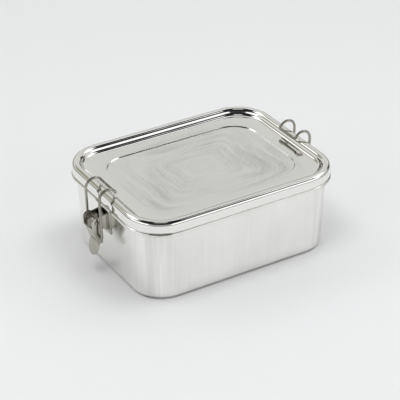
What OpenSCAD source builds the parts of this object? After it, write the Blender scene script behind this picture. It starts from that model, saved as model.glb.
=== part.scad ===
// Two-latch stainless lunch box: a drawn tray, a pressed lid with a silicone seal, and a wire toggle
// latch on each short end. Origin at the centre of the base, X along the length, +Z up.

/* [Plan] */
// Length over the lid's skirt
lid_length = 168; // [150:1:190]
// Width over the lid's skirt
lid_width = 130; // [118:1:150]
// Plan radius of the lid's corners
corner_r = 29; // [27:0.5:34]

/* [Tray] */
// Height of the tray's flat land, on which the seal sits
tray_height = 57.8; // [56.8:0.1:58]
// Sheet thickness of the tray
tray_t = 0.7; // [0.6:0.1:0.8]
// Inset of the wall's outer face from the lid's outline, at the floor
wall_inset_floor = 5.4; // [5:0.1:6]
// Inset of the wall's outer face from the lid's outline, at the land
wall_inset_rim = 3.1; // [2.9:0.1:3.4]
// Outer radius between floor and wall
floor_fillet = 4; // [3:0.5:6]
// Outer radius of the rolled edge
curl_r = 1.5; // [1.4:0.1:1.6]
// Inset of the rolled edge's centre from the lid's outline
curl_inset = 0.9; // [0.8:0.1:1]

/* [Lid] */
// Height of the crest of the lid's rim
lid_top = 66.5; // [66.3:0.1:66.6]
// Height of the lid's flat margin
lid_margin_z = 62; // [61.6:0.1:62.4]
// Sheet thickness of the lid
lid_t = 0.6; // [0.5:0.1:0.7]
// Outer radius of the rim's shoulder
shoulder_r = 3.4; // [3:0.1:3.4]
// Inset of the crest's inner edge
crest_inset = 3.5; // [3:0.1:4]
// Inset of the foot of the rim's inner slope
slope_inset = 11; // [10:0.5:12]
// Depth of the sunken centre panel
panel_drop = 0.7; // [0.5:0.1:0.8]
// Inset of the sunken panel's edge from the lid's outline
panel_inset = 20.5; // [19:0.5:24]
// The same inset along the long sides
panel_side_inset = 22; // [20:0.5:24]
// Plan radius of the sunken panel's corners
panel_r = 20; // [18:0.5:22]

/* [Seal] */
// Width of the silicone seal
seal_w = 2.2; // [1.8:0.1:2.4]
// Height of the silicone seal
seal_h = 6.6; // [5:0.1:6.8]

/* [Latch] */
// Sheet thickness of the lever and bracket
latch_t = 0.8; // [0.6:0.1:0.9]
// Outer width of the lever
lever_w = 14; // [13:0.5:15]
// Radius of the lever's eye round its pivot
eye_r = 4.2; // [3.8:0.1:4.4]
// Radius of the pivot pin
pin_r = 1.2; // [1:0.1:1.4]
// Radius of the bail wire
wire_r = 1; // [0.8:0.1:1.1]
// Distance of each wire leg from the latch's centre line
leg_y = 10.2; // [9.5:0.1:11]
// Radius of the arch that passes over the rim, at the wire's centre
arch_r = 6.9; // [6.6:0.1:7]

/* [Hidden] */
$fn = 64;

steel = "#c9c8c4";
wire_steel = "#b9b8b4";
silicone = "#e9e7e0";

// Centres of the plan corners: every profile is swept round them, with u measured out from them
corner_x = lid_length / 2 - corner_r;
corner_y = lid_width / 2 - corner_r;

// Gaps: a moving pair, a pin in its holes, and two pieces that only touch
clear_gap = 0.2;
pin_gap = 0.05;
touch_gap = 0.02;

// Tray profile
wall_u0 = corner_r - wall_inset_floor;
wall_lean = wall_inset_floor - wall_inset_rim;
wall_angle = atan(wall_lean / tray_height);
fillet_u = wall_u(floor_fillet) - floor_fillet / cos(wall_angle);
curl_u = corner_r - curl_inset;
curl_z = tray_height - curl_r;
curl_open = 70;

// Lid profile
skirt_bottom = tray_height + clear_gap;
shoulder_u = corner_r - shoulder_r;
shoulder_z = lid_top - shoulder_r;
crest_u = corner_r - crest_inset;
slope_u = corner_r - slope_inset;
slope_turn = 2 * atan((lid_top - lid_margin_z) / (crest_u - slope_u));
slope_steps = 8;
slope_bend = (crest_u - slope_u) / (2 * sin(slope_turn));
panel_step_w = 0.9;
panel_x = lid_length / 2 - panel_inset - panel_r;
panel_y = lid_width / 2 - panel_side_inset - panel_r;

// Seal: it hangs in the lid's channel and rests on the tray's land
seal_u = corner_r - 3.4;
seal_lip_h = 2.6;
seal_lip_w = 1;

// Latch, on the right-hand end: places are [out along X, up]
pivot = [lid_length / 2 + 6.4, 45];
hook_pivot = pivot + [-1.8, -11.8];
cheek_y = lever_w / 2;
ear_y = cheek_y - latch_t - clear_gap;
head_r = 2;
head_t = 0.6;
head_gap = 0.1;
sleeve_r = 1.75;

// Lever: the web leans in to the waist, and the thumb tongue leans out again below it
web_top = pivot + [3.9, -5];
waist = pivot + [-1, -17.5];
tongue_lean = 15;
tongue_len = 11.6;
tongue_root = 1.2;
tongue_step = 0.2;
cheek_back = [pivot + [-4.2, 0], hook_pivot + [-2.7, 0], waist + [-3, 0]];

// Bracket on the tray's end wall
bracket_w = 17;
bracket_low = 33;
bracket_high = 53;
ear_low = 36;
ear_high = 50;
ear_r = 3.3;

// Bail: leg, arch, crossbar, with a small bend at each corner. The straight lengths are
// a little thinner than the bends and run a short way into them
bend_r = 1.6;
bite = 0.2;
link = 0.4;
core_r = wire_r - 0.05;
arch_end = 145;
cross = [lid_length / 2 - 8.1, lid_top + 0.7];
cross_dir = arch_end + 90;
arch_stop = cross - (bend_r + link) * polar(cross_dir);
arch_c = arch_stop - arch_r * polar(arch_end);
to_arch = arch_c - hook_pivot;
leg_angle = atan2(to_arch[1], to_arch[0]) - asin(arch_r / norm(to_arch));
leg_len = sqrt(norm(to_arch) * norm(to_arch) - arch_r * arch_r);
arch_start = leg_angle - 90;
stub_in = 0.6;

function polar(angle) = [cos(angle), sin(angle)];
// Outer face of the tray's leaning wall at height z
function wall_u(z) = wall_u0 + wall_lean * z / tray_height;
function wall_x(z) = corner_x + wall_u(z);
// The two bends of the rim's inner slope, down below the outer face
function crest_bend_point(a, down) =
    [crest_u, lid_top - slope_bend] + (slope_bend - down) * polar(90 + a);
function foot_bend_point(a, down) =
    [slope_u, lid_margin_z + slope_bend] + (slope_bend + down) * polar(270 + a);

// A rounded plate with its corners centred at x, y
module plate(x, y, r, h) {
    linear_extrude(h) {
        square([2 * (x + r), 2 * y], center = true);
        square([2 * x, 2 * (y + r)], center = true);
        for (i = [-1, 1])
            for (j = [-1, 1])
                translate([i * x, j * y])
                    circle(r);
    }
}

// The profile below it, drawn in (u, z), carried round a rounded rectangle
module sweep(x, y) {
    for (i = [0:3]) {
        reach = i % 2 == 0 ? x : y;
        half = i % 2 == 0 ? y : x;
        rotate([0, 0, 90 * i])
            translate([reach, half, 0]) {
                rotate([90, 0, 0])
                    linear_extrude(2 * half)
                        children();
                rotate_extrude(angle = 90)
                    children();
            }
    }
}

// A strip of sheet bent round an arc of less than 180 degrees
module arc_strip(centre, r, t, a0, a1) {
    far = 3 * r;
    mid = (a0 + a1) / 2;
    translate(centre)
        intersection() {
            difference() {
                circle(r);
                circle(r - t);
            }
            polygon([[0, 0], far * polar(a0), far * polar(mid), far * polar(a1)]);
        }
}

// The tray's side: fillet, leaning wall, land and rolled edge
module tray_profile() {
    z0 = floor_fillet * (1 - sin(wall_angle));
    arc_strip([fillet_u, floor_fillet], floor_fillet, tray_t, -90, -wall_angle);
    polygon([
        [wall_u(z0), z0],
        [wall_u(tray_height), tray_height],
        [wall_u(tray_height) - tray_t, tray_height],
        [wall_u(z0) - tray_t, z0]
    ]);
    translate([wall_u(tray_height) - tray_t, tray_height - tray_t])
        square([curl_u - wall_u(tray_height) + tray_t, tray_t]);
    arc_strip([curl_u, curl_z], curl_r, tray_t, -10, 90);
    arc_strip([curl_u, curl_z], curl_r, tray_t, -100, -10);
    arc_strip([curl_u, curl_z], curl_r, tray_t, -260 + curl_open, -100);
}

module tray() {
    color(steel) {
        plate(corner_x, corner_y, fillet_u, tray_t);
        sweep(corner_x, corner_y)
            tray_profile();
    }
}

// The lid's rim: skirt, shoulder, crest and the slope down to the margin
module lid_profile() {
    translate([corner_r - lid_t, skirt_bottom])
        square([lid_t, shoulder_z - skirt_bottom]);
    arc_strip([shoulder_u, shoulder_z], shoulder_r, lid_t, 0, 90);
    translate([crest_u, lid_top - lid_t])
        square([shoulder_u - crest_u, lid_t]);
    polygon([
        for (i = [0:slope_steps]) foot_bend_point(slope_turn * i / slope_steps, 0),
        for (i = [slope_steps - 1:-1:0]) crest_bend_point(slope_turn * i / slope_steps, 0),
        for (i = [0:slope_steps]) crest_bend_point(slope_turn * i / slope_steps, lid_t),
        for (i = [slope_steps - 1:-1:0]) foot_bend_point(slope_turn * i / slope_steps, lid_t)
    ]);
}

// The pressed step between the margin and the sunken panel
module step_profile() {
    polygon([
        [panel_r, lid_margin_z],
        [panel_r, lid_margin_z - lid_t],
        [panel_r - panel_step_w, lid_margin_z - panel_drop - lid_t],
        [panel_r - panel_step_w, lid_margin_z - panel_drop]
    ]);
}

module lid() {
    color(steel) {
        sweep(corner_x, corner_y)
            lid_profile();
        difference() {
            translate([0, 0, lid_margin_z - lid_t])
                plate(corner_x, corner_y, slope_u, lid_t);
            translate([0, 0, lid_margin_z - 2 * lid_t])
                plate(panel_x, panel_y, panel_r, 3 * lid_t);
        }
        sweep(panel_x, panel_y)
            step_profile();
        translate([0, 0, lid_margin_z - panel_drop - lid_t])
            plate(panel_x, panel_y, panel_r - panel_step_w, lid_t);
    }
}

module seal() {
    lip_u = seal_u + (seal_w - seal_lip_w) / 2;
    color(silicone)
        sweep(corner_x, corner_y) {
            translate([seal_u, tray_height + seal_lip_h])
                square([seal_w, seal_h - seal_lip_h]);
            translate([lip_u, tray_height + pin_gap])
                square([seal_lip_w, seal_lip_h]);
        }
}

// A flat sheet drawn in (out, up), centred on y and t thick
module side_sheet(y, t) {
    translate([0, y + t / 2, 0])
        rotate([90, 0, 0])
            linear_extrude(t)
                children();
}

// A rod along Y through a place in (out, up)
module cross_rod(place, r, length) {
    translate([place[0], length / 2, place[1]])
        rotate([90, 0, 0])
            cylinder(r = r, h = length);
}

module ear_outline() {
    difference() {
        union() {
            translate(pivot)
                circle(ear_r);
            polygon([
                [wall_x(ear_low) + latch_t / 2, ear_low],
                pivot + ear_r * polar(-60),
                pivot + ear_r * polar(75),
                [wall_x(ear_high) + latch_t / 2, ear_high]
            ]);
        }
        translate(pivot)
            circle(pin_r + touch_gap);
    }
}

// Plate welded to the wall, with two ears that carry the pivot pin
module bracket() {
    color(steel) {
        side_sheet(0, bracket_w)
            polygon([
                [wall_x(bracket_low) + touch_gap, bracket_low],
                [wall_x(bracket_high) + touch_gap, bracket_high],
                [wall_x(bracket_high) + touch_gap + latch_t, bracket_high],
                [wall_x(bracket_low) + touch_gap + latch_t, bracket_low]
            ]);
        for (s = [-1, 1])
            side_sheet(s * (ear_y - latch_t / 2), latch_t)
                ear_outline();
    }
}

// Riveted pivot pin with a head outside each cheek of the lever
module pin() {
    head_y = cheek_y + head_gap;
    color(wire_steel) {
        cross_rod(pivot, pin_r, 2 * head_y);
        for (s = [-1, 1])
            translate([0, s * (head_y + head_t / 2), 0])
                cross_rod(pivot, head_r, head_t);
    }
}

// Spacer tube round the pin, between the bracket's ears
module sleeve() {
    color(wire_steel)
        difference() {
            cross_rod(pivot, sleeve_r, 2 * (ear_y - latch_t - touch_gap));
            cross_rod(pivot, pin_r + pin_gap, lever_w);
        }
}

module cheek_outline() {
    difference() {
        union() {
            translate(pivot)
                circle(eye_r);
            polygon([
                pivot + [eye_r, 0],
                web_top,
                waist,
                cheek_back[2],
                cheek_back[1],
                cheek_back[0]
            ]);
        }
        translate(pivot)
            circle(pin_r + pin_gap);
        translate(hook_pivot)
            circle(wire_r);
    }
}

// Thumb lever: two cheeks, a web between them and a round-ended tongue
module lever() {
    web_angle = atan2(web_top[1] - waist[1], web_top[0] - waist[0]);
    inward = polar(web_angle + 90);
    outer = touch_gap * inward;
    inner = latch_t * inward;
    color(steel) {
        for (s = [-1, 1])
            side_sheet(s * (cheek_y - latch_t / 2), latch_t)
                cheek_outline();
        side_sheet(0, lever_w - latch_t)
            polygon([web_top + outer, waist + outer, waist + inner, web_top + inner]);
        translate([waist[0] - latch_t, 0, waist[1]])
            rotate([0, 90 - tongue_lean, 0])
                round_tongue();
    }
}

// The tongue lies along +X before it is turned down, latch_t thick, and is a little narrower than the lever
module round_tongue() {
    half = cheek_y - tongue_step;
    straight = tongue_len - half;
    linear_extrude(latch_t) {
        translate([-tongue_root, -half])
            square([straight + tongue_root, 2 * half]);
        translate([straight, 0])
            circle(half);
    }
}

// A quarter bend of the wire, from (0, r) to (r, 0) in its own X-Y plane
module wire_bend() {
    rotate_extrude(angle = 90)
        translate([bend_r, 0])
            circle(wire_r);
}

// One side of the bail: stub, bend, leg, arch and the bend into the crossbar
module bail_leg() {
    straight_y = leg_y - bend_r;
    stub_y = cheek_y - latch_t - stub_in;
    translate([hook_pivot[0], 0, hook_pivot[1]])
        rotate([0, -leg_angle, 0]) {
            translate([0, stub_y, 0])
                rotate([-90, 0, 0])
                    cylinder(r = core_r, h = straight_y - stub_y + bite);
            translate([bend_r, straight_y, 0])
                rotate([0, 0, 90])
                    wire_bend();
            translate([bend_r - bite, leg_y, 0])
                rotate([0, 90, 0])
                    cylinder(r = core_r, h = leg_len - bend_r + 2 * bite);
        }
    translate([arch_c[0], leg_y, arch_c[1]])
        rotate([90, 0, 0])
            rotate([0, 0, arch_start])
                rotate_extrude(angle = arch_end - arch_start)
                    translate([arch_r, 0])
                        circle(wire_r);
    translate([arch_stop[0], 0, arch_stop[1]])
        rotate([0, -cross_dir, 0]) {
            translate([-bite, leg_y, 0])
                rotate([0, 90, 0])
                    cylinder(r = core_r, h = link + 2 * bite);
            translate([link, straight_y, 0])
                wire_bend();
        }
}

// Wire bail that hooks over the lid's rim
module bail() {
    color(wire_steel) {
        bail_leg();
        mirror([0, 1, 0])
            bail_leg();
        cross_rod(cross, core_r, 2 * (leg_y - bend_r + bite));
    }
}

module right_bracket() { bracket(); }
module right_pin() { pin(); }
module right_sleeve() { sleeve(); }
module right_lever() { lever(); }
module right_bail() { bail(); }
module left_bracket() { mirror([1, 0, 0]) bracket(); }
module left_pin() { mirror([1, 0, 0]) pin(); }
module left_sleeve() { mirror([1, 0, 0]) sleeve(); }
module left_lever() { mirror([1, 0, 0]) lever(); }
module left_bail() { mirror([1, 0, 0]) bail(); }

tray();
lid();
seal();
left_bracket();
left_pin();
left_sleeve();
left_lever();
left_bail();
right_bracket();
right_pin();
right_sleeve();
right_lever();
right_bail();
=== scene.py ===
"""Looks of the two-latch stainless lunch box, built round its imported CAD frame. Lengths in metres."""
import math

import bmesh
import bpy
import numpy as np
from mathutils import Matrix, Vector


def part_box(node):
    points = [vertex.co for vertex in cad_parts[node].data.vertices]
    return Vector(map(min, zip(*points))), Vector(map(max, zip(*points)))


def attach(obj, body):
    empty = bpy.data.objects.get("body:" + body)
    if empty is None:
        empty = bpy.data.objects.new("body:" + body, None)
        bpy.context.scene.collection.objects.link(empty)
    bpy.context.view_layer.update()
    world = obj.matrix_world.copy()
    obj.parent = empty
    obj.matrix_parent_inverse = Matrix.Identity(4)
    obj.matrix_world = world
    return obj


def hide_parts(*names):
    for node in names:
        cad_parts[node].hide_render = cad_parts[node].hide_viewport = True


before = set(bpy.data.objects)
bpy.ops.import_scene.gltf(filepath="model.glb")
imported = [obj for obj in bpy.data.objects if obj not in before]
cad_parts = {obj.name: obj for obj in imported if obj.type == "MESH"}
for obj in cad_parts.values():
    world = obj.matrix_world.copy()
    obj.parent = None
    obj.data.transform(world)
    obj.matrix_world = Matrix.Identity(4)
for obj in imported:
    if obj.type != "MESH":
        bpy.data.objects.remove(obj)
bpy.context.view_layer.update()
MM = 0.001

# ---------------------------------------------------------------- sizes, from the frame where it has them
_, lid_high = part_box("lid")
_, tray_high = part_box("tray")
HALF_X, HALF_Y = lid_high.x, lid_high.y
LID_TOP = lid_high.z
LAND_Z = tray_high.z
SKIRT_Z = LAND_Z + 0.2 * MM
CORNER_R = 29 * MM
TRAY_T = 0.7 * MM
LID_T = 0.6 * MM
CURL_R = 1.5 * MM
CURL_INSET = 0.9 * MM
WALL_INSET_FLOOR = 5.4 * MM
WALL_INSET_RIM = 3.1 * MM
FLOOR_FILLET = 4 * MM
SHOULDER_R = 3.4 * MM
CREST_INSET = 3.5 * MM
SLOPE_INSET = 11 * MM
MARGIN_Z = 62 * MM
PANEL_DROP = 0.7 * MM
PANEL_INSET = 20.5 * MM
PANEL_SIDE_INSET = 22 * MM
PANEL_R = 20 * MM
PANEL_STEP = 0.9 * MM
WIRE_R = 1 * MM
LEG_Y = 10.2 * MM
ARCH_R = 6.9 * MM
BEND_R = 1.6 * MM


# ---------------------------------------------------------------- camera
AZIMUTH, ELEVATION, ROLL = math.radians(-31.15), math.radians(30.61), math.radians(-0.258)
CAMERA_AT = Vector((-0.51316, -0.84743, 0.61893))
LENS_MM, SENSOR_MM = 139.7, 36


def make_camera():
    """The camera fitted to the photograph, turned round its own axis by ROLL."""
    back = Vector((math.sin(AZIMUTH) * math.cos(ELEVATION),
                   -math.cos(AZIMUTH) * math.cos(ELEVATION),
                   math.sin(ELEVATION)))
    right = Vector((0, 0, 1)).cross(back).normalized()
    up = back.cross(right)
    rolled_right = right * math.cos(ROLL) + up * math.sin(ROLL)
    rolled_up = up * math.cos(ROLL) - right * math.sin(ROLL)
    data = bpy.data.cameras.new("camera")
    data.lens = LENS_MM
    data.sensor_width = SENSOR_MM
    camera = bpy.data.objects.new("camera", data)
    turn = Matrix((rolled_right, rolled_up, back)).transposed().to_4x4()
    camera.matrix_world = Matrix.Translation(CAMERA_AT) @ turn
    bpy.context.scene.collection.objects.link(camera)
    bpy.context.scene.camera = camera


make_camera()


# ---------------------------------------------------------------- node helpers
class Nodes:
    """Adds nodes to one tree. A value that is a socket gets linked, any other is set on the input."""

    def __init__(self, tree):
        self.tree = tree

    def add(self, kind, values=None, **settings):
        node = self.tree.nodes.new(kind)
        for key, value in settings.items():
            setattr(node, key, value)
        for key, value in (values or {}).items():
            if isinstance(value, bpy.types.NodeSocket):
                self.tree.links.new(value, node.inputs[key])
            else:
                node.inputs[key].default_value = value
        return node

    def math(self, operation, a, b=0.0, c=0.0):
        node = self.add("ShaderNodeMath", {0: a, 1: b, 2: c}, operation=operation)
        return node.outputs[0]

    def noise(self, vector, scale, detail=2.0, roughness=0.5):
        node = self.add("ShaderNodeTexNoise",
                        {"Vector": vector, "Scale": scale, "Detail": detail, "Roughness": roughness})
        return node.outputs["Fac"]

    def span(self, value, low, high, to_low=0.0, to_high=1.0, smooth=True):
        kind = "SMOOTHSTEP" if smooth else "LINEAR"
        node = self.add("ShaderNodeMapRange",
                        {"Value": value, "From Min": low, "From Max": high,
                         "To Min": to_low, "To Max": to_high},
                        interpolation_type=kind)
        return node.outputs["Result"]

    def mix(self, factor, a, b):
        node = self.add("ShaderNodeMix", data_type="RGBA")
        for socket, value in ((node.inputs[0], factor), (node.inputs[6], a), (node.inputs[7], b)):
            if isinstance(value, bpy.types.NodeSocket):
                self.tree.links.new(value, socket)
            else:
                socket.default_value = value
        return node.outputs[2]

    def split(self, vector):
        return self.add("ShaderNodeSeparateXYZ", {0: vector}).outputs[:]

    def combine(self, x, y, z):
        return self.add("ShaderNodeCombineXYZ", {0: x, 1: y, 2: z}).outputs[0]


def new_material(name):
    """A material with an empty Principled shader, and the object coordinates to draw it by."""
    material = bpy.data.materials.new(name)
    material.use_nodes = True
    material.node_tree.nodes.clear()
    nodes = Nodes(material.node_tree)
    shader = nodes.add("ShaderNodeBsdfPrincipled")
    out = nodes.add("ShaderNodeOutputMaterial")
    material.node_tree.links.new(shader.outputs[0], out.inputs[0])
    place = nodes.add("ShaderNodeTexCoord").outputs["Object"]
    return material, nodes, shader, place


def connect(nodes, shader, **sockets):
    """Sets or links the shader's inputs, named with _ for a space."""
    for key, value in sockets.items():
        name = key.replace("_", " ")
        if isinstance(value, bpy.types.NodeSocket):
            nodes.tree.links.new(value, shader.inputs[name])
        else:
            shader.inputs[name].default_value = value


def bump(nodes, height, distance, strength=1.0, normal=None):
    """A bumped normal, laid over another one if that is given."""
    values = {"Height": height, "Distance": distance, "Strength": strength}
    if normal is not None:
        values["Normal"] = normal
    return nodes.add("ShaderNodeBump", values).outputs[0]


# ---------------------------------------------------------------- materials
def steel(name, light, dark, rough_low, rough_high, ripple, stretch=0.0):
    """Polished stainless sheet: soft waviness, faint drawing streaks and small scratches."""
    material, nodes, shader, place = new_material(name)
    x, y, z = nodes.split(place)
    along = nodes.math("ADD", x, y)
    streak_place = nodes.combine(nodes.math("MULTIPLY", x, 420.0),
                                 nodes.math("MULTIPLY", y, 420.0),
                                 nodes.math("MULTIPLY", z, 14.0))
    streaks = nodes.noise(streak_place, 1.0, 4.0, 0.6)
    clouds = nodes.noise(place, 30.0, 3.0, 0.55)
    scratch_place = nodes.combine(nodes.math("MULTIPLY", along, 350.0),
                                  nodes.math("MULTIPLY", nodes.math("SUBTRACT", x, y), 60.0),
                                  nodes.math("MULTIPLY", z, 2200.0))
    scratches = nodes.noise(scratch_place, 1.0, 4.0, 0.7)
    tone = nodes.math("ADD", nodes.math("MULTIPLY", clouds, 0.6), nodes.math("MULTIPLY", streaks, 0.4))
    colour = nodes.mix(nodes.span(tone, 0.35, 0.65), light, dark)
    rough = nodes.span(nodes.math("ADD", nodes.math("MULTIPLY", clouds, 0.6),
                                  nodes.math("MULTIPLY", scratches, 0.4)), 0.3, 0.7, rough_low, rough_high)
    if stretch:
        # painted reflection: the wall's corners darkened in soft upright bands
        colour = nodes.mix(painted_corner_reflection_bands(nodes, place, x, y), colour, (0.66, 0.655, 0.63, 1))
        rough = nodes.math("MULTIPLY", rough, nodes.span(z, 54.5 * MM, 53.5 * MM, 0.35, 1.0))
    waves = nodes.noise(place, 22.0, 1.0, 0.4)
    soft = bump(nodes, waves, ripple)
    fine = bump(nodes, scratches, 0.002 * MM, 0.5, soft)
    connect(nodes, shader, Base_Color=colour, Roughness=rough, Metallic=1.0, Normal=fine)
    if stretch:
        upright = nodes.add("ShaderNodeTangent", direction_type="RADIAL", axis="Z").outputs[0]
        connect(nodes, shader, Anisotropic=stretch, Anisotropic_Rotation=0.25, Tangent=upright)
    return material


def painted_corner_reflection_bands(nodes, place, x, y):
    """Soft upright darker bands painted where the tray's wall turns its corners: painted reflection streaks.
    """
    turn_x = nodes.span(nodes.math("ABSOLUTE", x), 50 * MM, 64 * MM)
    turn_y = nodes.span(nodes.math("ABSOLUTE", y), 34 * MM, 46 * MM)
    corner = nodes.math("MULTIPLY", turn_x, turn_y)
    flat = nodes.combine(nodes.math("MULTIPLY", x, 75.0), nodes.math("MULTIPLY", y, 75.0), 0.0)
    fine_flat = nodes.combine(nodes.math("MULTIPLY", x, 260.0), nodes.math("MULTIPLY", y, 260.0), 0.0)
    wide = nodes.span(nodes.noise(flat, 1.0, 2.0), 0.42, 0.62)
    narrow = nodes.span(nodes.noise(fine_flat, 1.0, 3.0), 0.40, 0.66)
    bands = nodes.math("ADD", nodes.math("MULTIPLY", wide, 0.65), nodes.math("MULTIPLY", narrow, 0.35))
    return nodes.math("MULTIPLY", corner, nodes.math("MULTIPLY", bands, 0.85))


def lapped_steel(name):
    """Lid steel: the panel carries faint lapping marks in nested round-cornered rectangles."""
    material, nodes, shader, place = new_material(name)
    x, y, _ = nodes.split(place)
    reach_x = nodes.math("DIVIDE", nodes.math("ABSOLUTE", x), HALF_X)
    reach_y = nodes.math("DIVIDE", nodes.math("ABSOLUTE", y), HALF_Y)
    total = nodes.math("ADD", nodes.math("POWER", reach_x, 9.0), nodes.math("POWER", reach_y, 9.0))
    out = nodes.math("POWER", total, 1 / 9)
    wobble = nodes.math("MULTIPLY", nodes.noise(place, 40.0, 3.0), 0.09)
    track = nodes.math("ADD", out, wobble)
    marks_place = nodes.combine(nodes.math("MULTIPLY", track, 46.0), nodes.math("MULTIPLY", x, 28.0),
                                nodes.math("MULTIPLY", y, 28.0))
    marks = nodes.noise(marks_place, 1.0, 5.0, 0.62)
    broad_place = nodes.combine(nodes.math("MULTIPLY", track, 11.0), nodes.math("MULTIPLY", x, 26.0),
                                nodes.math("MULTIPLY", y, 26.0))
    broad = nodes.noise(broad_place, 1.0, 3.0, 0.55)
    cross_place = nodes.combine(nodes.math("MULTIPLY", nodes.math("ADD", x, y), 30.0),
                                nodes.math("MULTIPLY", nodes.math("SUBTRACT", x, y), 320.0), 0.0)
    cross = nodes.noise(cross_place, 1.0, 4.0, 0.6)
    on_panel = nodes.span(out, 0.86, 0.78)
    patches = nodes.span(nodes.noise(place, 16.0, 1.0), 0.35, 0.55, 0.25, 1.0)
    middle = nodes.math("MULTIPLY", nodes.math("MULTIPLY", nodes.span(out, 0.80, 0.66),
                                               nodes.span(out, 0.10, 0.42, 0.3, 1.0)), patches)
    blend = nodes.math("ADD", nodes.math("MULTIPLY", marks, 0.4),
                       nodes.math("ADD", nodes.math("MULTIPLY", broad, 0.45),
                                  nodes.math("MULTIPLY", cross, 0.15)))
    lapping = nodes.math("MULTIPLY", nodes.span(blend, 0.38, 0.64), middle)
    colour = nodes.mix(on_panel, (0.88, 0.875, 0.85, 1), (0.86, 0.86, 0.845, 1))
    colour = nodes.mix(lapping, colour, (0.66, 0.66, 0.645, 1))
    rough = nodes.math("ADD", nodes.span(lapping, 0.0, 1.0, 0.05, 0.16, False),
                       nodes.math("MULTIPLY", on_panel, 0.10))
    waves = nodes.noise(place, 24.0, 1.0, 0.4)
    soft = bump(nodes, waves, 0.35 * MM)
    fine = bump(nodes, nodes.math("MULTIPLY", marks, middle), 0.015 * MM, 0.6, soft)
    connect(nodes, shader, Base_Color=colour, Roughness=rough, Metallic=1.0, Normal=fine)
    return material


def silicone(name):
    """Matt silicone with a fine speck."""
    material, nodes, shader, place = new_material(name)
    speck = nodes.noise(place, 900.0, 3.0, 0.6)
    colour = nodes.mix(nodes.span(speck, 0.35, 0.7), (0.80, 0.79, 0.76, 1), (0.72, 0.71, 0.68, 1))
    rough = nodes.span(speck, 0.3, 0.7, 0.48, 0.62)
    connect(nodes, shader, Base_Color=colour, Roughness=rough, Normal=bump(nodes, speck, 0.01 * MM))
    return material


TRAY_STEEL = steel("tray_steel", (0.93, 0.925, 0.905, 1), (0.875, 0.87, 0.845, 1), 0.12, 0.20, 0.10 * MM, 0.8)
LID_STEEL = lapped_steel("lid_steel")
# painted shade: the lever and bracket steel gets a darker colour than the tray's same stainless
LATCH_STEEL_PAINTED_SHADE = steel("latch_steel", (0.60, 0.58, 0.53, 1), (0.42, 0.405, 0.36, 1), 0.05, 0.14, 0.02 * MM)
# painted dark reflection: the wire, pin and sleeve steel gets a much darker colour than the tray's same
# stainless
WIRE_STEEL_PAINTED_SHADE = steel("wire_steel", (0.42, 0.40, 0.36, 1), (0.28, 0.265, 0.235, 1), 0.02, 0.05, 0.01 * MM)
SILICONE = silicone("silicone")


# ---------------------------------------------------------------- mesh helpers
def arc(centre, r, a0, a1, steps):
    """Points on an arc in a profile, angles in degrees."""
    angles = [math.radians(a0 + (a1 - a0) * i / steps) for i in range(steps + 1)]
    return [(centre[0] + r * math.cos(a), centre[1] + r * math.sin(a)) for a in angles]


def line(a, b, steps):
    """Evenly spaced points from a to b, both included."""
    return [(a[0] + (b[0] - a[0]) * i / steps, a[1] + (b[1] - a[1]) * i / steps) for i in range(steps + 1)]


def joined(*runs):
    """Profile runs end to end, without the doubled points."""
    points = []
    for run in runs:
        for point in run:
            if not points or math.dist(point, points[-1]) > 1e-7:
                points.append(point)
    return points


def ring(half_x, half_y, r, z, corner_steps=20, side_steps=(18, 24)):
    """A rounded rectangle at height z, counted from the +X side's far end, anticlockwise."""
    points = []
    for k in range(4):
        sign_x = 1 if k in (0, 3) else -1
        sign_y = 1 if k in (0, 1) else -1
        centre = (sign_x * (half_x - r), sign_y * (half_y - r))
        corner = [(centre[0] + r * math.cos(a), centre[1] + r * math.sin(a))
                  for a in (math.radians(90 * (k + i / corner_steps)) for i in range(corner_steps + 1))]
        nx = (k + 1) % 4
        next_x = 1 if nx in (0, 3) else -1
        next_y = 1 if nx in (0, 1) else -1
        turn = math.radians(90 * (k + 1))
        start = (next_x * (half_x - r) + r * math.cos(turn), next_y * (half_y - r) + r * math.sin(turn))
        steps = side_steps[1] if k % 2 == 0 else side_steps[0]
        side = [(corner[-1][0] + (start[0] - corner[-1][0]) * i / steps,
                 corner[-1][1] + (start[1] - corner[-1][1]) * i / steps) for i in range(1, steps)]
        points += [(px, py, z) for px, py in corner + side]
    return points


def linked(name, mesh):
    """A new object with this mesh, in the scene."""
    obj = bpy.data.objects.new(name, mesh)
    bpy.context.scene.collection.objects.link(obj)
    return obj


def skin(name, rings, cap_first=True, closed=False):
    """A mesh with quads between rings of equal length, and a face over the first one."""
    count = len(rings[0])
    verts = [p for r in rings for p in r]
    faces = []
    pairs = [(i, i + 1) for i in range(len(rings) - 1)] + ([(len(rings) - 1, 0)] if closed else [])
    for i, j in pairs:
        for k in range(count):
            m = (k + 1) % count
            faces.append((i * count + k, i * count + m, j * count + m, j * count + k))
    if cap_first:
        faces.append(tuple(range(count)))
    mesh = bpy.data.meshes.new(name)
    mesh.from_pydata(verts, [], faces)
    mesh.validate()
    bm = bmesh.new()
    bm.from_mesh(mesh)
    bmesh.ops.recalc_face_normals(bm, faces=bm.faces)
    bm.to_mesh(mesh)
    bm.free()
    mesh.shade_smooth()
    return linked(name, mesh)


# edges that turn more than this stay sharp in the turned and bevelled pieces
SHARP = math.radians(50)


def finish_piece(obj, material, body, slot, *nodes):
    """Material and body of a piece, and the CAD nodes that it stands in for, which are hidden; slot is not
    used.
    """
    obj.data.materials.clear()
    obj.data.materials.append(material)
    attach(obj, body)
    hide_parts(*nodes)
    return obj


def thicken(obj, thickness):
    """Gives a sheet its thickness, inwards from the face that was drawn."""
    solid = obj.modifiers.new("sheet", "SOLIDIFY")
    solid.thickness = thickness
    solid.offset = -1
    solid.use_even_offset = True
    solid.use_quality_normals = True


def point_up(obj):
    """Turns all faces over if the first face of the sheet looks down."""
    if obj.data.polygons[-1].normal.z < 0:
        obj.data.flip_normals()


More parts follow.
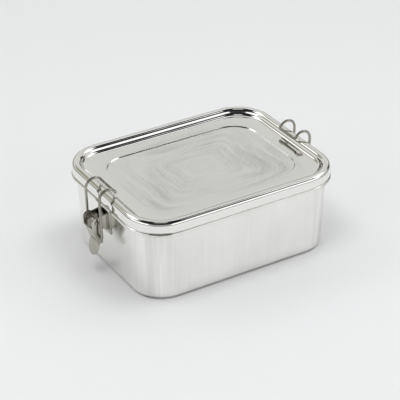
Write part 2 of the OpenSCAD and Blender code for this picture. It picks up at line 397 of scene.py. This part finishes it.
# ---------------------------------------------------------------- tray
def wall_inset(z):
    """How far in from the lid's outline the tray's outer wall is at height z."""
    return WALL_INSET_FLOOR + (WALL_INSET_RIM - WALL_INSET_FLOOR) * z / LAND_Z


def tray_inner_profile():
    """(inset, z) of the sheet's inner face, from the floor up and round the rolled edge."""
    r = FLOOR_FILLET - TRAY_T
    lean = math.degrees(math.atan((WALL_INSET_FLOOR - WALL_INSET_RIM) / LAND_Z))
    centre = (wall_inset(FLOOR_FILLET) + FLOOR_FILLET, FLOOR_FILLET)
    fillet = arc(centre, r, 270, 180 + lean, 8)
    top_r = 0.8 * MM
    wall_top = LAND_Z - top_r
    wall = line(fillet[-1], (wall_inset(wall_top) + TRAY_T, wall_top), 24)
    throat = arc((wall_inset(wall_top) + TRAY_T - top_r, wall_top), top_r, 0, 90, 5)
    curl = arc((CURL_INSET, LAND_Z - CURL_R), CURL_R, 90, 90 + 285, 28)
    return joined(fillet, wall, throat, curl)


def make_tray():
    """The drawn sheet of the tray, from the middle of the floor out and up round the curl."""
    profile = tray_inner_profile()
    floor_insets = [64 * MM, 50 * MM, 36 * MM, 24 * MM, 16 * MM, 12 * MM]
    rings = []
    for inset in floor_insets:
        r = max(CORNER_R - inset, 1 * MM)
        rings.append(ring(HALF_X - inset, HALF_Y - inset, r, TRAY_T))
    for inset, z in profile:
        rings.append(ring(HALF_X - inset, HALF_Y - inset, CORNER_R - inset, z))
    obj = skin("tray_shell", rings)
    point_up(obj)
    thicken(obj, TRAY_T)
    return finish_piece(obj, TRAY_STEEL, "tray", "tray_steel", "tray")


# ---------------------------------------------------------------- lid
def lid_outer_profile():
    """(inset, z) of the lid's outer face, from the foot of the slope out to the skirt's edge."""
    width, rise = SLOPE_INSET - CREST_INSET, LID_TOP - MARGIN_Z
    turn = 2 * math.atan(rise / width)
    bend = width / (2 * math.sin(turn))
    degrees = math.degrees(turn)
    foot = arc((SLOPE_INSET, MARGIN_Z + bend), bend, 270, 270 - degrees, 14)
    crest = arc((CREST_INSET, LID_TOP - bend), bend, 90 - degrees, 90, 14)
    shoulder = arc((SHOULDER_R, LID_TOP - SHOULDER_R), SHOULDER_R, 90, 180, 16)
    skirt = line(shoulder[-1], (0, SKIRT_Z), 6)
    return joined(foot, crest, shoulder, skirt)


# (along, up) shares of the pressed step round the panel: flat, bend, straight, bend, flat
STEP_SHAPE = [(-0.15, 0), (0, 0.02), (0.12, 0.09), (0.25, 0.22),
              (0.75, 0.78), (0.88, 0.91), (1, 0.98), (1.15, 1)]


def panel_rings():
    """The sunken panel, its step and the margin round it, from the centre out."""
    rings = []
    low = MARGIN_Z - PANEL_DROP
    half_x, half_y = HALF_X - PANEL_INSET, HALF_Y - PANEL_SIDE_INSET
    for further in (38, 32, 26, 20, 15, 10, 6, 3, 1.8):
        inset = further * MM
        r = max(PANEL_R - inset * 0.9, 2 * MM)
        rings.append(ring(half_x - inset, half_y - inset, r, low))
    for along, up in STEP_SHAPE:
        inset = PANEL_STEP * (1 - along)
        rings.append(ring(half_x - inset, half_y - inset, PANEL_R - inset, low + PANEL_DROP * up))
    steps = 5
    r_foot = CORNER_R - SLOPE_INSET
    for i in range(1, steps):
        t = i / steps
        inset_x = PANEL_INSET * (1 - t) + SLOPE_INSET * t
        inset_y = PANEL_SIDE_INSET * (1 - t) + SLOPE_INSET * t
        rings.append(ring(HALF_X - inset_x, HALF_Y - inset_y, PANEL_R * (1 - t) + r_foot * t, MARGIN_Z))
    return rings



def make_lid():
    """The pressed sheet of the lid, from the middle of the panel out to the skirt's edge."""
    rings = panel_rings()
    for inset, z in lid_outer_profile():
        rings.append(ring(HALF_X - inset, HALF_Y - inset, CORNER_R - inset, z))
    obj = skin("lid_shell", rings)
    point_up(obj)
    thicken(obj, LID_T)
    return finish_piece(obj, LID_STEEL, "lid", "lid_steel", "lid")


make_tray()
make_lid()


# ---------------------------------------------------------------- latches
def polar(degrees):
    """The unit vector at this angle in the (x, z) plane."""
    return np.array([math.cos(math.radians(degrees)), math.sin(math.radians(degrees))])


PIVOT = np.array([HALF_X + 6.4 * MM, 45 * MM])
HOOK_PIVOT = PIVOT + np.array([-1.8, -11.8]) * MM
PLATE_T = 0.8 * MM
CHEEK_IN, CHEEK_OUT = 6.2 * MM, 7 * MM
EAR_IN, EAR_OUT = 5.2 * MM, 6 * MM
EYE_R, EAR_R = 4.2 * MM, 3.3 * MM
TONGUE_ROOT_Z = 27.5 * MM
TONGUE_LEAN = math.radians(15)
TONGUE_HALF, TONGUE_LEN = 6.7 * MM, 11.6 * MM
BRACKET_LOW, BRACKET_HIGH, BRACKET_HALF = 33 * MM, 53 * MM, 8.5 * MM
STUB_Y = 5.6 * MM
ARCH_END = 145
LINK = 0.4 * MM
CROSS = np.array([HALF_X - 8.1 * MM, LID_TOP + 0.7 * MM])


def bail_centreline():
    """Points of the wire on the right-hand latch, from one stub round to the other."""
    direction = polar(ARCH_END + 90)
    arch_stop = CROSS - (BEND_R + LINK) * direction
    arch_c = arch_stop - ARCH_R * polar(ARCH_END)
    to_arch = arch_c - HOOK_PIVOT
    reach = np.linalg.norm(to_arch)
    leg_angle = math.degrees(math.atan2(to_arch[1], to_arch[0]) - math.asin(ARCH_R / reach))
    leg_len = math.sqrt(reach ** 2 - ARCH_R ** 2)
    leg = polar(leg_angle)
    half = []

    def add(place, y):
        half.append(np.array([place[0], y, place[1]]))

    add(HOOK_PIVOT, STUB_Y)
    for i in range(13):
        a = math.radians(90 * i / 12)
        add(HOOK_PIVOT + leg * BEND_R * (1 - math.cos(a)), LEG_Y - BEND_R + BEND_R * math.sin(a))
    for i in range(1, 10):
        add(HOOK_PIVOT + leg * (BEND_R + (leg_len - BEND_R) * i / 10), LEG_Y)
    start = leg_angle - 90
    for i in range(41):
        add(arch_c + ARCH_R * polar(start + (ARCH_END - start) * i / 40), LEG_Y)
    corner = arch_stop + LINK * direction
    for i in range(13):
        a = math.radians(90 * i / 12)
        add(corner + direction * BEND_R * math.sin(a), LEG_Y - BEND_R + BEND_R * math.cos(a))
    other = [p * np.array([1, -1, 1]) for p in reversed(half)]
    return half + other


def tube(name, points, radius, sides=20):
    """A round wire along the points, with slightly domed ends."""
    path = np.array(points)
    tangents = np.gradient(path, axis=0)
    tangents /= np.linalg.norm(tangents, axis=1)[:, None]
    normal = np.array([0.0, 0.0, 1.0])
    rings = []
    dome = [(0.0, 0.0), (0.5, 0.35), (0.85, 0.7), (1.0, 1.0)]
    frames = []
    for p, t in zip(path, tangents):
        normal = normal - t * np.dot(normal, t)
        normal /= np.linalg.norm(normal)
        frames.append((p, t, normal.copy(), np.cross(t, normal)))

    def circle(p, u, v, r):
        return [tuple(p + r * (u * math.cos(a) + v * math.sin(a)))
                for a in (2 * math.pi * k / sides for k in range(sides))]

    first, last = frames[0], frames[-1]
    for share, along in dome[1:-1]:
        middle = first[0] - first[1] * radius * 0.4 * (1 - along)
        rings.append(circle(middle, first[2], first[3], radius * share))
    for p, t, u, v in frames:
        rings.append(circle(p, u, v, radius))
    for share, along in reversed(dome[1:-1]):
        middle = last[0] + last[1] * radius * 0.4 * (1 - along)
        rings.append(circle(middle, last[2], last[3], radius * share))
    obj = skin(name, rings, cap_first=True)
    close_last(obj, sides)
    return obj


def prism(name, outline, low, high, bevel):
    """A plate cut to an (x, z) outline, from y = low to y = high, with its edges broken."""
    count = len(outline)
    verts = [(px, low, pz) for px, pz in outline] + [(px, high, pz) for px, pz in outline]
    faces = [(k, (k + 1) % count, count + (k + 1) % count, count + k) for k in range(count)]
    faces += [tuple(range(count)), tuple(range(count, 2 * count))]
    return bevelled(name, verts, faces, bevel)


def bevelled(name, verts, faces, width, segments=2):
    """A closed mesh with its sharper edges broken by this width."""
    mesh = bpy.data.meshes.new(name)
    mesh.from_pydata(verts, [], faces)
    bm = bmesh.new()
    bm.from_mesh(mesh)
    bmesh.ops.recalc_face_normals(bm, faces=bm.faces)
    sharp = [e for e in bm.edges if e.calc_face_angle(0) > math.radians(35)]
    bmesh.ops.bevel(bm, geom=sharp, offset=width, segments=segments, profile=0.5, affect="EDGES")
    bm.to_mesh(mesh)
    bm.free()
    mesh.shade_smooth()
    mesh.set_sharp_from_angle(angle=SHARP)
    return linked(name, mesh)


def turned_rings(profile, at, sides):
    """Rings about the line through (x, z) = at along Y, one for each (radius, y) point."""
    return [[(at[0] + r * math.cos(2 * math.pi * k / sides), y,
              at[1] + r * math.sin(2 * math.pi * k / sides)) for k in range(sides)] for r, y in profile]


def spun(name, profile, at, sides=40):
    """A turned piece about the line through (x, z) = at along Y, from (radius, y) points, closed."""
    obj = skin(name, turned_rings(profile, at, sides), cap_first=False, closed=True)
    obj.data.set_sharp_from_angle(angle=SHARP)
    return obj


def merged(name, pieces):
    """Several meshes in one object; the originals go."""
    bm = bmesh.new()
    for piece in pieces:
        bm.from_mesh(piece.data)
        bpy.data.objects.remove(piece)
    mesh = bpy.data.meshes.new(name)
    bm.to_mesh(mesh)
    bm.free()
    return linked(name, mesh)


def mirrored(obj, sign):
    """The piece itself for the right-hand side, turned over in X for the left-hand one."""
    if sign < 0:
        for vert in obj.data.vertices:
            vert.co.x = -vert.co.x
        obj.data.flip_normals()
    return obj


def circle_run(centre, r, a0, a1, steps):
    return [tuple(centre + r * polar(a0 + (a1 - a0) * i / steps)) for i in range(steps + 1)]


def thick_line(start, end, t):
    """The outline of a plate t thick along a line."""
    start, end = np.array(start), np.array(end)
    d = (end - start) / np.linalg.norm(end - start)
    n = np.array([-d[1], d[0]]) * t / 2
    return [tuple(start + n), tuple(end + n), tuple(end - n), tuple(start - n)]


def lever_mesh(name):
    """The right-hand lever: two cheeks, the web between them and the tongue."""
    out = PIVOT[0]
    eye = circle_run(PIVOT, EYE_R, 0, 180, 24)
    low_back = [(out - 4.5 * MM, 33.2 * MM), (out - 4 * MM, TONGUE_ROOT_Z)]
    low_front = [(out - 1 * MM, TONGUE_ROOT_Z), (out + 3.9 * MM, 40 * MM)]
    outline = eye + low_back + low_front
    near = prism(name + "_a", outline, CHEEK_IN, CHEEK_OUT, 0.22 * MM)
    far = prism(name + "_b", outline, -CHEEK_OUT, -CHEEK_IN, 0.22 * MM)
    web_line = thick_line((out + 3.5 * MM, 39.8 * MM), (out - 1.4 * MM, 27.3 * MM), PLATE_T)
    web = prism(name + "_c", web_line, -6.6 * MM, 6.6 * MM, 0.2 * MM)
    return merged(name, [near, far, web, tongue(name + "_d")])


def tongue(name):
    """The thumb tab below the cheeks: a plate with a round end, leaning out."""
    down = np.array([math.sin(TONGUE_LEAN), -math.cos(TONGUE_LEAN)])
    normal = np.array([math.cos(TONGUE_LEAN), math.sin(TONGUE_LEAN)])
    half, length = TONGUE_HALF, TONGUE_LEN
    start = np.array([PIVOT[0] - 1.8 * MM, TONGUE_ROOT_Z])
    edge = [(half, -1 * MM)]
    edge += [(half * math.cos(a), length - half + half * math.sin(a))
             for a in (math.pi * i / 24 for i in range(25))]
    edge += [(-half, -1 * MM)]
    count = len(edge)
    verts = []
    for side in (0, PLATE_T):
        for y, along in edge:
            place = start + down * along + normal * side
            verts.append((place[0], y, place[1]))
    faces = [(k, (k + 1) % count, count + (k + 1) % count, count + k) for k in range(count)]
    faces += [tuple(range(count)), tuple(range(count, 2 * count))]
    return bevelled(name, verts, faces, 0.2 * MM)


def wall_x(z):
    """How far out the tray's end wall is at height z."""
    return HALF_X - wall_inset(z)


def bracket_mesh(name):
    """The right-hand bracket: a plate along the end wall, with two ears round the pin."""
    z0, z1, sunk = BRACKET_LOW, BRACKET_HIGH, 0.05 * MM
    foot = [(wall_x(z0) - sunk, z0), (wall_x(z0) + PLATE_T, z0),
            (wall_x(z1) + PLATE_T, z1), (wall_x(z1) - sunk, z1)]
    plate = prism(name + "_p", foot, -BRACKET_HALF, BRACKET_HALF, 0.3 * MM)
    ear = [(wall_x(36 * MM) + 0.3 * MM, 36 * MM)] + circle_run(PIVOT, EAR_R, -55, 75, 20)
    ear += [(wall_x(50 * MM) + 0.3 * MM, 50 * MM)]
    near = prism(name + "_n", ear, EAR_IN, EAR_OUT, 0.18 * MM)
    far = prism(name + "_f", ear, -EAR_OUT, -EAR_IN, 0.18 * MM)
    return merged(name, [plate, near, far])


def pin_mesh(name):
    """The right-hand pin, riveted over at both ends: half its profile, mirrored in y."""
    r, head, y0, y1, e = 1.2 * MM, 2 * MM, 7.1 * MM, 7.7 * MM, 0.25 * MM
    half = [(r, 0.0), (r, y0), (head - 0.1 * MM, y0), (head, y0 + 0.1 * MM), (head, y1 - e)]
    half += [(head - e * 0.4, y1 - e * 0.35), (head - e, y1), (0.02 * MM, y1 + 0.08 * MM)]
    profile = [(a, -b) for a, b in reversed(half)][:-1] + half
    sides = 32
    obj = skin(name, turned_rings(profile, PIVOT, sides), cap_first=True)
    close_last(obj, sides)
    obj.data.set_sharp_from_angle(angle=SHARP)
    return obj


def close_last(obj, sides):
    """Puts a face over the last ring of a skinned piece."""
    bm = bmesh.new()
    bm.from_mesh(obj.data)
    bm.verts.ensure_lookup_table()
    count = len(bm.verts)
    bm.faces.new([bm.verts[i] for i in range(count - sides, count)])
    bmesh.ops.recalc_face_normals(bm, faces=bm.faces)
    bm.to_mesh(obj.data)
    bm.free()
    obj.data.shade_smooth()


def sleeve_mesh(name):
    """The right-hand spacer sleeve on the pin."""
    bore, r, half, e = 1.25 * MM, 1.75 * MM, 5.15 * MM, 0.15 * MM
    profile = [(bore, -half), (r - e, -half), (r, -half + e), (r, half - e), (r - e, half), (bore, half)]
    return spun(name, profile, PIVOT)


def make_latch(side, sign):
    """The five pieces of one latch; sign is 1 for the right-hand side and -1 for the left-hand one."""
    points = [p * np.array([sign, 1, 1]) for p in bail_centreline()]
    wire = tube(side + "_bail_wire", points, WIRE_R)
    finish_piece(wire, WIRE_STEEL_PAINTED_SHADE, side + "_bail", "wire_steel", side + "_bail")
    lever = mirrored(lever_mesh(side + "_lever_plate"), sign)
    finish_piece(lever, LATCH_STEEL_PAINTED_SHADE, side + "_lever", "latch_steel", side + "_lever")
    bracket = mirrored(bracket_mesh(side + "_bracket_plate"), sign)
    finish_piece(bracket, LATCH_STEEL_PAINTED_SHADE, "tray", "latch_steel", side + "_bracket")
    pin = mirrored(pin_mesh(side + "_pin_turned"), sign)
    finish_piece(pin, WIRE_STEEL_PAINTED_SHADE, "tray", "wire_steel", side + "_pin")
    sleeve = mirrored(sleeve_mesh(side + "_sleeve_turned"), sign)
    finish_piece(sleeve, WIRE_STEEL_PAINTED_SHADE, "tray", "wire_steel", side + "_sleeve")


for side, sign in (("left", -1), ("right", 1)):
    make_latch(side, sign)

for material_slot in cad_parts["seal"].material_slots:
    material_slot.material = SILICONE


# ---------------------------------------------------------------- floor, light
FLOOR_GAP = 0.00005


def make_floor():
    """The plain plane under the box, a hair below its base."""
    bpy.ops.mesh.primitive_plane_add(size=8.0, location=(0, 0, -FLOOR_GAP))
    floor = bpy.context.object
    floor.name = "floor"
    material, nodes, shader, place = new_material("floor")
    connect(nodes, shader, Base_Color=(0.86, 0.865, 0.87, 1), Roughness=0.6)
    floor.data.materials.append(material)


def make_world():
    """A studio: pale walls, a white box overhead, and darkness over and round the camera."""
    world = bpy.data.worlds.new("studio")
    bpy.context.scene.world = world
    world.use_nodes = True
    world.node_tree.nodes.clear()
    nodes = Nodes(world.node_tree)
    direction = nodes.add("ShaderNodeTexCoord").outputs["Generated"]
    x, y, z = nodes.split(direction)
    front = nodes.math("ADD", nodes.math("MULTIPLY", x, math.sin(AZIMUTH)),
                       nodes.math("MULTIPLY", y, -math.cos(AZIMUTH)))
    side = nodes.math("ADD", nodes.math("MULTIPLY", x, math.cos(AZIMUTH)),
                      nodes.math("MULTIPLY", y, math.sin(AZIMUTH)))
    aside = nodes.math("ABSOLUTE", side)

    def patch(level, value, box):
        """Puts value over level inside a soft-edged box of (front, side, z) spans."""
        inside = None
        for axis, (low, high, soft) in zip((front, side, z), box):
            up = nodes.span(axis, low - soft, low + soft)
            down = nodes.span(axis, high + soft, high - soft)
            both = nodes.math("MULTIPLY", up, down)
            inside = both if inside is None else nodes.math("MULTIPLY", inside, both)
        return nodes.mix(inside, level, value)

    wall = nodes.mix(nodes.span(z, 0.1, 0.75), (0.74, 0.745, 0.73, 1), (0.66, 0.66, 0.64, 1))
    level = patch(wall, (0.34, 0.325, 0.26, 1),
                  ((-0.75, -0.30, 0.03), (-0.95, -0.36, 0.04), (0.40, 0.72, 0.03)))
    level = patch(level, (0.02, 0.02, 0.02, 1), ((-0.9, -0.5, 0.05), (0.50, 0.74, 0.03), (0.20, 0.42, 0.03)))
    level = patch(level, (1.9, 1.95, 2.0, 1), ((-0.52, -0.06, 0.03), (-0.8, 0.8, 0.05), (0.60, 2.0, 0.03)))
    level = patch(level, (0.03, 0.03, 0.035, 1), ((-0.02, 2.0, 0.03), (-2.0, 2.0, 0.1), (0.62, 2.0, 0.04)))
    lit = nodes.math("MULTIPLY", nodes.span(aside, 0.42, 0.52), nodes.span(front, 0.0, 0.1))
    level = nodes.mix(nodes.math("MULTIPLY", lit, nodes.span(z, 0.66, 0.58)), level, (1.25, 1.26, 1.25, 1))
    level = patch(level, (0.02, 0.02, 0.022, 1), ((-0.46, 2.0, 0.04), (-0.46, 0.46, 0.05), (0.52, 2.0, 0.06)))
    level = patch(level, (0.40, 0.40, 0.39, 1), ((0.3, 2.0, 0.1), (-0.40, 0.40, 0.12), (0.02, 0.54, 0.04)))
    level = patch(level, (0.05, 0.035, 0.02, 1), ((-2.0, 2.0, 0.1), (-2.0, 2.0, 0.2), (0.015, 0.18, 0.012)))
    level = patch(level, (0.72, 0.72, 0.71, 1), ((-0.15, 0.15, 0.04), (-0.15, 0.15, 0.04), (0.8, 2.0, 0.02)))
    shade = nodes.add("ShaderNodeBackground", {"Color": level, "Strength": 1.0})
    out = nodes.add("ShaderNodeOutputWorld")
    world.node_tree.links.new(shade.outputs[0], out.inputs[0])


def add_area(name, location, aim, size, power):
    """An area light aimed at a point, hidden from reflections."""
    data = bpy.data.lights.new(name, "AREA")
    data.shape = "RECTANGLE"
    data.size, data.size_y = size
    data.energy = power
    light = bpy.data.objects.new(name, data)
    light.location = location
    light.rotation_euler = (Vector(aim) - Vector(location)).to_track_quat("-Z", "Y").to_euler()
    light.visible_glossy = False
    bpy.context.scene.collection.objects.link(light)


make_floor()
make_world()
add_area("key", (0.5, -0.3, 1.9), (0, 0, 0), (0.9, 0.9), 10)
add_area("fill", (-0.6, -0.2, 1.9), (0, 0, 0), (0.9, 0.9), 11)

bpy.context.scene.view_settings.view_transform = "Standard"
